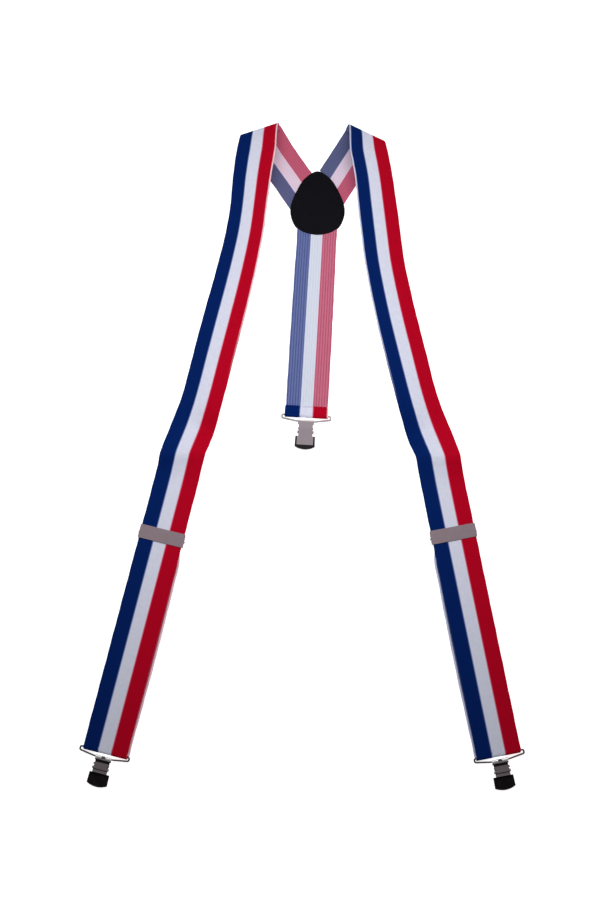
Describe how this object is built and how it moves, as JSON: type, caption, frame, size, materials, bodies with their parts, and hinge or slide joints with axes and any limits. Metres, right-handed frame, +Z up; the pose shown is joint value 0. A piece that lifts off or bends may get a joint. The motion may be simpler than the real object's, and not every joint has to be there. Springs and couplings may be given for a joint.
{
  "type": "clip-on suspenders",
  "caption": "Y-back elastic suspenders with three wide stripes, a leather back patch, sliding adjusters and hinged clip ends, laid flat with the shoulder loops folded over.",
  "frame": {"origin": "middle of the base of the whole object's box, on the surface it lies on", "axes": "+X to the right, +Y towards the shoulder folds, +Z up from the surface"},
  "size_m": [0.5004, 0.7772, 0.027],
  "materials": {
    "webbing": "three-stripe woven elastic, blue, white and red",
    "leather": "black grained leather",
    "thread": "black sewing thread",
    "white_thread": "white sewing thread",
    "nickel": "bright nickel plate",
    "brushed_nickel": "brushed nickel plate",
    "boot": "black moulded plastic"
  },
  "bodies": {
    "back_and_shoulders": {"patch_back": "leather", "patch_front": "leather", "patch_stitching": "thread", "back_strap_in_patch": "webbing", "left_shoulder_strap": "webbing", "right_shoulder_strap": "webbing"},
    "back_strap": {"back_strap": "webbing", "hem_stitching": "white_thread"},
    "left_front": {"left_front_strap": "webbing"},
    "left_loop": {"left_return_strap": "webbing"},
    "left_adjuster": {"left_adjuster_plate": "brushed_nickel", "left_adjuster_end_bar": "nickel", "left_end_stitching": "white_thread"},
    "left_adjuster_lever": {"left_adjuster_lever": "brushed_nickel"},
    "right_front": {"right_front_strap": "webbing"},
    "right_loop": {"right_return_strap": "webbing"},
    "right_adjuster": {"right_adjuster_plate": "brushed_nickel", "right_adjuster_end_bar": "nickel", "right_end_stitching": "white_thread"},
    "right_adjuster_lever": {"right_adjuster_lever": "brushed_nickel"},
    "left_bail": {"left_clip_bail": "nickel"},
    "left_clip": {"left_clip_base": "nickel", "left_clip_pin": "nickel", "left_clip_boot": "boot"},
    "left_lever": {"left_clip_lever": "brushed_nickel"},
    "right_bail": {"right_clip_bail": "nickel"},
    "right_clip": {"right_clip_base": "nickel", "right_clip_pin": "nickel", "right_clip_boot": "boot"},
    "right_lever": {"right_clip_lever": "brushed_nickel"},
    "back_bail": {"back_clip_bail": "nickel"},
    "back_clip": {"back_clip_base": "nickel", "back_clip_pin": "nickel", "back_clip_boot": "boot"},
    "back_lever": {"back_clip_lever": "brushed_nickel"}
  },
  "joints": [
    {"name": "left_strap_fold", "type": "hinge", "parent": "back_and_shoulders", "child": "left_front", "pos_m": [-0.13693, -0.00772, 0.01475], "axis": [-1, 0, 0], "range_deg": [0, 150]},
    {"name": "left_clip_slide", "type": "slide", "parent": "left_front", "child": "left_loop", "axis": [-0.2413, -0.9704, 0], "range_m": [-0.02, 0.1], "deforming": ["left_front_strap"]},
    {"name": "left_adjuster_slide", "type": "slide", "parent": "left_loop", "child": "left_adjuster", "axis": [-0.2413, -0.9704, 0], "range_m": [-0.02, 0.1], "deforming": ["left_return_strap"]},
    {"name": "left_adjuster_lever_hinge", "type": "hinge", "parent": "left_adjuster", "child": "left_adjuster_lever", "pos_m": [-0.16073, -0.1034, 0.0027], "axis": [-0.9704, 0.2413, 0], "range_deg": [0, 100]},
    {"name": "right_strap_fold", "type": "hinge", "parent": "back_and_shoulders", "child": "right_front", "pos_m": [0.15627, -0.01092, 0.01475], "axis": [-1, 0, 0], "range_deg": [0, 150]},
    {"name": "right_clip_slide", "type": "slide", "parent": "right_front", "child": "right_loop", "axis": [0.1878, -0.9822, 0], "range_m": [-0.02, 0.1], "deforming": ["right_front_strap"]},
    {"name": "right_adjuster_slide", "type": "slide", "parent": "right_loop", "child": "right_adjuster", "axis": [0.1878, -0.9822, 0], "range_m": [-0.02, 0.1], "deforming": ["right_return_strap"]},
    {"name": "right_adjuster_lever_hinge", "type": "hinge", "parent": "right_adjuster", "child": "right_adjuster_lever", "pos_m": [0.17349, -0.10099, 0.0027], "axis": [-0.9822, -0.1878, 0], "range_deg": [0, 100]},
    {"name": "back_strap_fold", "type": "hinge", "parent": "back_and_shoulders", "child": "back_strap", "pos_m": [0.01747, 0.25128, 0.003], "axis": [-0.9983, 0.0577, 0], "range_deg": [0, 150]},
    {"name": "left_bail_swing", "type": "hinge", "parent": "left_loop", "child": "left_bail", "pos_m": [-0.22103, -0.34592, 0.00287], "axis": [-0.9704, 0.2413, 0], "range_deg": [0, 90]},
    {"name": "left_clip_swing", "type": "hinge", "parent": "left_bail", "child": "left_clip", "pos_m": [-0.22272, -0.35271, 0.00287], "axis": [-0.9704, 0.2413, 0], "range_deg": [0, 45]},
    {"name": "left_lever_hinge", "type": "hinge", "parent": "left_clip", "child": "left_lever", "pos_m": [-0.22569, -0.36465, 0.00477], "axis": [0.9704, -0.2413, 0], "range_deg": [0, 100]},
    {"name": "right_bail_swing", "type": "hinge", "parent": "right_loop", "child": "right_bail", "pos_m": [0.22087, -0.34872, 0.00287], "axis": [-0.9822, -0.1878, 0], "range_deg": [0, 90]},
    {"name": "right_clip_swing", "type": "hinge", "parent": "right_bail", "child": "right_clip", "pos_m": [0.22218, -0.35559, 0.00287], "axis": [-0.9822, -0.1878, 0], "range_deg": [0, 45]},
    {"name": "right_lever_hinge", "type": "hinge", "parent": "right_clip", "child": "right_lever", "pos_m": [0.22449, -0.36767, 0.00477], "axis": [0.9822, 0.1878, 0], "range_deg": [0, 100]},
    {"name": "back_bail_swing", "type": "hinge", "parent": "back_strap", "child": "back_bail", "pos_m": [0.00517, 0.03838, 0.0041], "axis": [-0.9983, 0.0577, 0], "range_deg": [0, 90]},
    {"name": "back_clip_swing", "type": "hinge", "parent": "back_bail", "child": "back_clip", "pos_m": [0.00477, 0.03139, 0.0041], "axis": [-0.9983, 0.0577, 0], "range_deg": [0, 45]},
    {"name": "back_lever_hinge", "type": "hinge", "parent": "back_clip", "child": "back_lever", "pos_m": [0.00406, 0.01911, 0.0022], "axis": [-0.9983, 0.0577, 0], "range_deg": [0, 100]}
  ],
  "couplings": [
    {"joint": "left_adjuster_slide", "follows": "left_clip_slide", "ratio": 1},
    {"joint": "right_adjuster_slide", "follows": "right_clip_slide", "ratio": 1}
  ]
}
